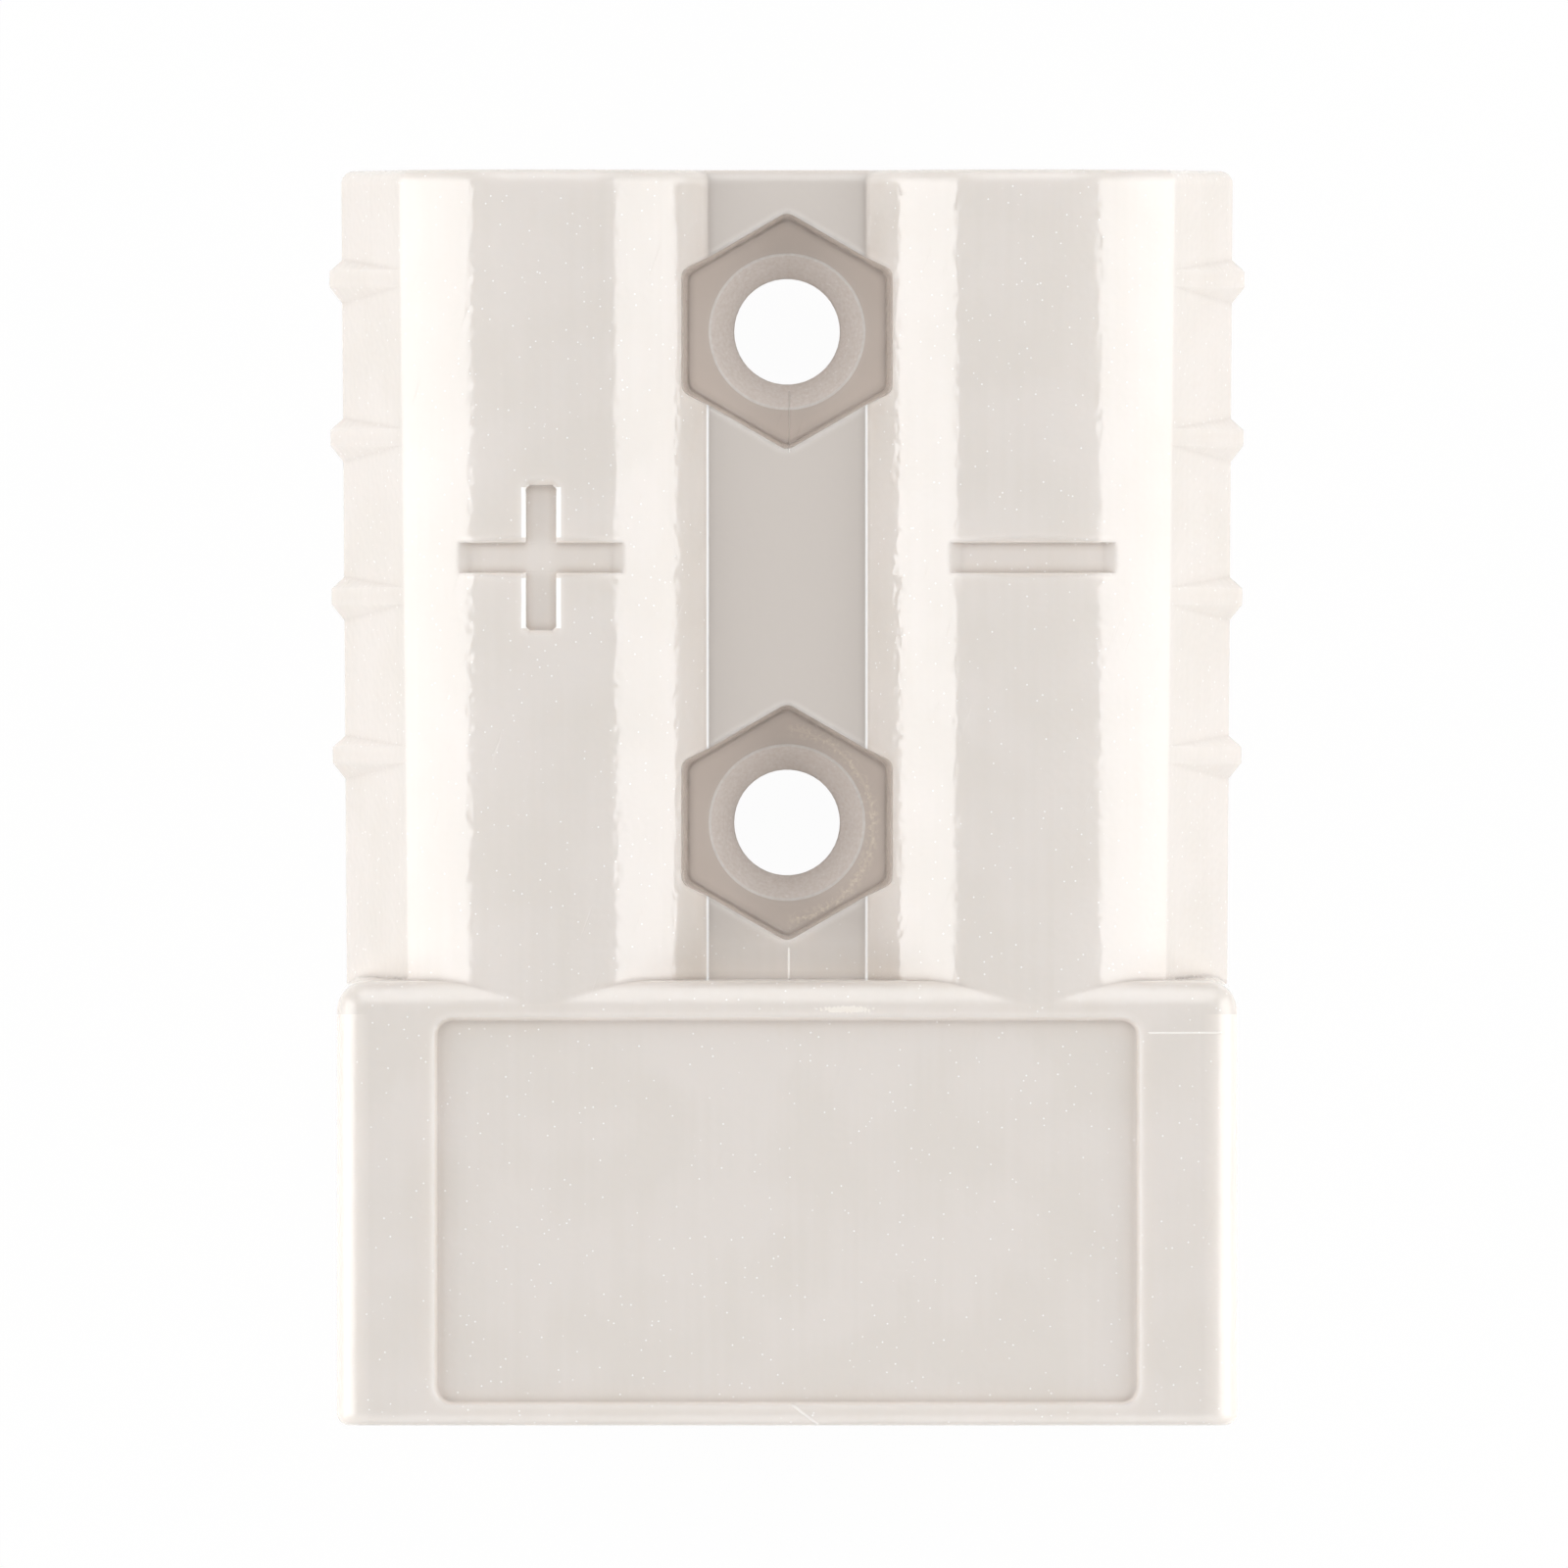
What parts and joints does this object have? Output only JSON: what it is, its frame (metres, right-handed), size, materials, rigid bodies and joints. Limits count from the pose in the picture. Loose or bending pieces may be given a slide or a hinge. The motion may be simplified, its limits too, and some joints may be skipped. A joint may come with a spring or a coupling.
{
  "type": "power connector",
  "caption": "Flat genderless connector for heavy battery leads, with round wire entries, hexagonal nut pockets, polarity marks and sprung blade contacts under a hood.",
  "frame": {"origin": "under the middle of the housing, on the surface that it rests on", "axes": "+Y towards the wire end, -Y the mating face, +Z the side with the nut pockets and the label panel, +X towards the negative pole"},
  "size_m": [0.0364, 0.0498, 0.016],
  "materials": {
    "housing_plastic": "glossy light warm grey, as moulded",
    "contact_silver": "silver plated, satin",
    "spring_steel": "rolled strip"
  },
  "bodies": {
    "root": {"housing": "housing_plastic", "contact_positive": "contact_silver", "contact_negative": "contact_silver", "contact_spring_positive": "spring_steel", "contact_spring_negative": "spring_steel"}
  },
  "joints": []
}
